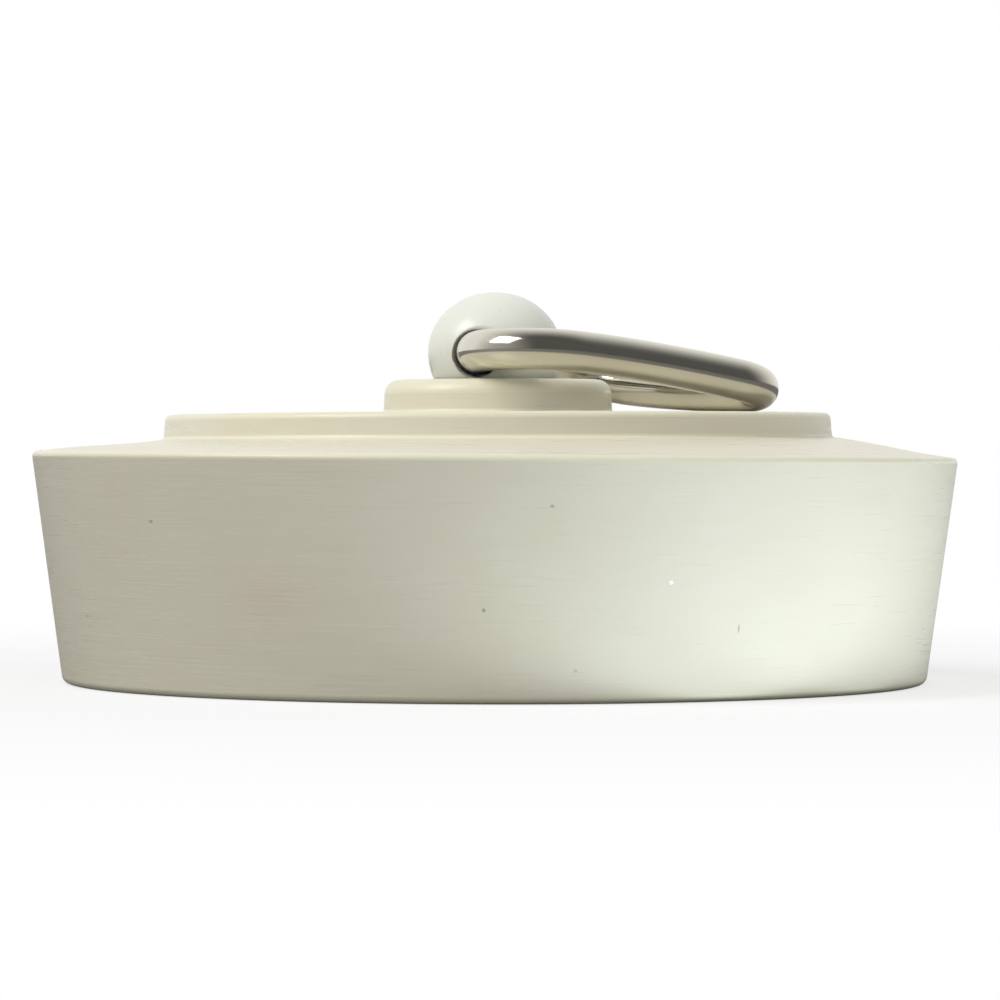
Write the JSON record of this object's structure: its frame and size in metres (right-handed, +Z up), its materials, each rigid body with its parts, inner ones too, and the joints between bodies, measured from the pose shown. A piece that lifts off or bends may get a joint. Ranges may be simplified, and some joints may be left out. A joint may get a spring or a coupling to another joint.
{
  "type": "sink plug",
  "caption": "Tapered round sink plug with a stepped top, a swivelling ball stud in its hub and a wire pull ring through the ball.",
  "frame": {"origin": "centre of the flat underside that the plug stands on", "axes": "+Z up along the plug's axis, -Y towards the picture's camera, +X towards the ring's tip"},
  "size_m": [0.045, 0.045, 0.019],
  "materials": {
    "cream_pvc": "satin moulded plastic, slightly yellowed",
    "white_acetal": "smooth off-white plastic",
    "chromed_wire": "bright plated wire",
    "black_rubber": "matt black rubber",
    "stainless_steel": "punched and tumbled stainless steel",
    "spring_steel": "oiled spring steel"
  },
  "bodies": {
    "plug": {"plug_body": "cream_pvc", "seal_ring": "black_rubber", "washer": "stainless_steel"},
    "stud": {"ball_stud": "white_acetal", "retaining_ring": "spring_steel"},
    "ring": {"pull_ring": "chromed_wire"}
  },
  "joints": [
    {"name": "stud_swivel", "type": "hinge", "parent": "plug", "child": "stud", "pos_m": [0, 0, 0.01608], "axis": [0, 0, 1], "continuous": true},
    {"name": "ring_lift", "type": "hinge", "parent": "stud", "child": "ring", "pos_m": [-0.00023, 0.00006, 0.01593], "axis": [-0.2276, -0.9735, 0.0208], "range_deg": [0, 190]}
  ]
}
